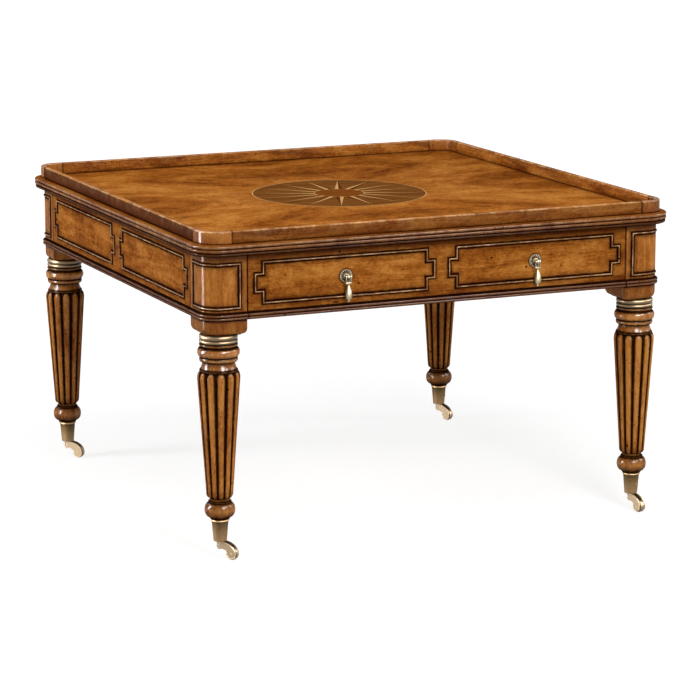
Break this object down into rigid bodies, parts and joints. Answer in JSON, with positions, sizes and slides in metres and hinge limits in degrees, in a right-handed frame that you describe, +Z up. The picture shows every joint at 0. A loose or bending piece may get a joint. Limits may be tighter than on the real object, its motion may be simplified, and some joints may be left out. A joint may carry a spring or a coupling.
{
  "type": "square coffee table",
  "caption": "Square walnut coffee table with a gallery top, inlaid compass star, panelled frieze with a drawer, and turned reeded legs on brass casters.",
  "frame": {"origin": "on the floor, below the middle of the top", "axes": "+Z up; -Y is the front, where the drawer opens; +X is the table's right as seen from the front"},
  "size_m": [0.864, 0.864, 0.5452],
  "materials": {
    "polished_walnut": "honey walnut with distress marks under a glossy lacquer",
    "medallion_veneer": "dark veneer with a two-tone inlaid star, flush and glossy",
    "bare_wood": "plain planed secondary wood",
    "antique_brass": "dulled, darkened in the hollows",
    "gilt_brass": "pale satin gilt"
  },
  "bodies": {
    "table": {"top_board": "polished_walnut", "star_medallion": "medallion_veneer", "gallery_rail_front": "polished_walnut", "gallery_rail_right": "polished_walnut", "gallery_rail_back": "polished_walnut", "gallery_rail_left": "polished_walnut", "gallery_corner_front_left": "polished_walnut", "gallery_corner_front_right": "polished_walnut", "gallery_corner_back_right": "polished_walnut", "gallery_corner_back_left": "polished_walnut", "corner_post_front_left": "polished_walnut", "leg_front_left": "polished_walnut", "leg_collar_front_left": "gilt_brass", "caster_cup_front_left": "antique_brass", "corner_post_front_right": "polished_walnut", "leg_front_right": "polished_walnut", "leg_collar_front_right": "gilt_brass", "caster_cup_front_right": "antique_brass", "corner_post_back_right": "polished_walnut", "leg_back_right": "polished_walnut", "leg_collar_back_right": "gilt_brass", "caster_cup_back_right": "antique_brass", "corner_post_back_left": "polished_walnut", "leg_back_left": "polished_walnut", "leg_collar_back_left": "gilt_brass", "caster_cup_back_left": "antique_brass", "apron_left": "polished_walnut", "apron_right": "polished_walnut", "apron_back": "polished_walnut", "front_bottom_rail": "polished_walnut", "front_top_rail": "bare_wood", "drawer_runner_left": "bare_wood", "drawer_runner_right": "bare_wood", "drawer_kicker_left": "bare_wood", "drawer_kicker_right": "bare_wood"},
    "drawer": {"drawer_front": "polished_walnut", "drawer_side_left": "bare_wood", "drawer_side_right": "bare_wood", "drawer_back": "bare_wood", "drawer_bottom": "bare_wood", "pull_rosette_left": "antique_brass", "pull_post_left": "antique_brass", "pull_nut_left": "antique_brass", "pull_rosette_right": "antique_brass", "pull_post_right": "antique_brass", "pull_nut_right": "antique_brass"},
    "drop_left": {"pull_drop_left": "antique_brass"},
    "drop_right": {"pull_drop_right": "antique_brass"},
    "caster_front_left": {"caster_horn_front_left": "antique_brass", "caster_axle_front_left": "antique_brass"},
    "wheel_front_left": {"caster_wheel_front_left": "antique_brass"},
    "caster_front_right": {"caster_horn_front_right": "antique_brass", "caster_axle_front_right": "antique_brass"},
    "wheel_front_right": {"caster_wheel_front_right": "antique_brass"},
    "caster_back_right": {"caster_horn_back_right": "antique_brass", "caster_axle_back_right": "antique_brass"},
    "wheel_back_right": {"caster_wheel_back_right": "antique_brass"},
    "caster_back_left": {"caster_horn_back_left": "antique_brass", "caster_axle_back_left": "antique_brass"},
    "wheel_back_left": {"caster_wheel_back_left": "antique_brass"}
  },
  "joints": [
    {"name": "drawer_slide", "type": "slide", "parent": "table", "child": "drawer", "axis": [0, -1, 0], "range_m": [0, 0.34]},
    {"name": "drop_left_swing", "type": "hinge", "parent": "drawer", "child": "drop_left", "pos_m": [-0.17225, -0.425, 0.4578], "axis": [-1, 0, 0], "range_deg": [-2, 80]},
    {"name": "drop_right_swing", "type": "hinge", "parent": "drawer", "child": "drop_right", "pos_m": [0.17225, -0.425, 0.4578], "axis": [-1, 0, 0], "range_deg": [-2, 80]},
    {"name": "caster_front_left_swivel", "type": "hinge", "parent": "table", "child": "caster_front_left", "pos_m": [-0.382, -0.382, 0.025], "axis": [0, 0, 1], "continuous": true},
    {"name": "wheel_front_left_roll", "type": "hinge", "parent": "caster_front_left", "child": "wheel_front_left", "pos_m": [-0.367, -0.39809, 0.01], "axis": [0.7314, 0.682, 0], "continuous": true},
    {"name": "caster_front_right_swivel", "type": "hinge", "parent": "table", "child": "caster_front_right", "pos_m": [0.382, -0.382, 0.025], "axis": [0, 0, 1], "continuous": true},
    {"name": "wheel_front_right_roll", "type": "hinge", "parent": "caster_front_right", "child": "wheel_front_right", "pos_m": [0.38695, -0.40344, 0.01], "axis": [0.9744, 0.225, 0], "continuous": true},
    {"name": "caster_back_right_swivel", "type": "hinge", "parent": "table", "child": "caster_back_right", "pos_m": [0.382, 0.382, 0.025], "axis": [0, 0, 1], "continuous": true},
    {"name": "wheel_back_right_roll", "type": "hinge", "parent": "caster_back_right", "child": "wheel_back_right", "pos_m": [0.39164, 0.36223, 0.01], "axis": [0.8988, 0.4384, 0], "continuous": true},
    {"name": "caster_back_left_swivel", "type": "hinge", "parent": "table", "child": "caster_back_left", "pos_m": [-0.382, 0.382, 0.025], "axis": [0, 0, 1], "continuous": true},
    {"name": "wheel_back_left_roll", "type": "hinge", "parent": "caster_back_left", "child": "wheel_back_left", "pos_m": [-0.36591, 0.367, 0.01], "axis": [0.682, 0.7314, 0], "continuous": true}
  ]
}
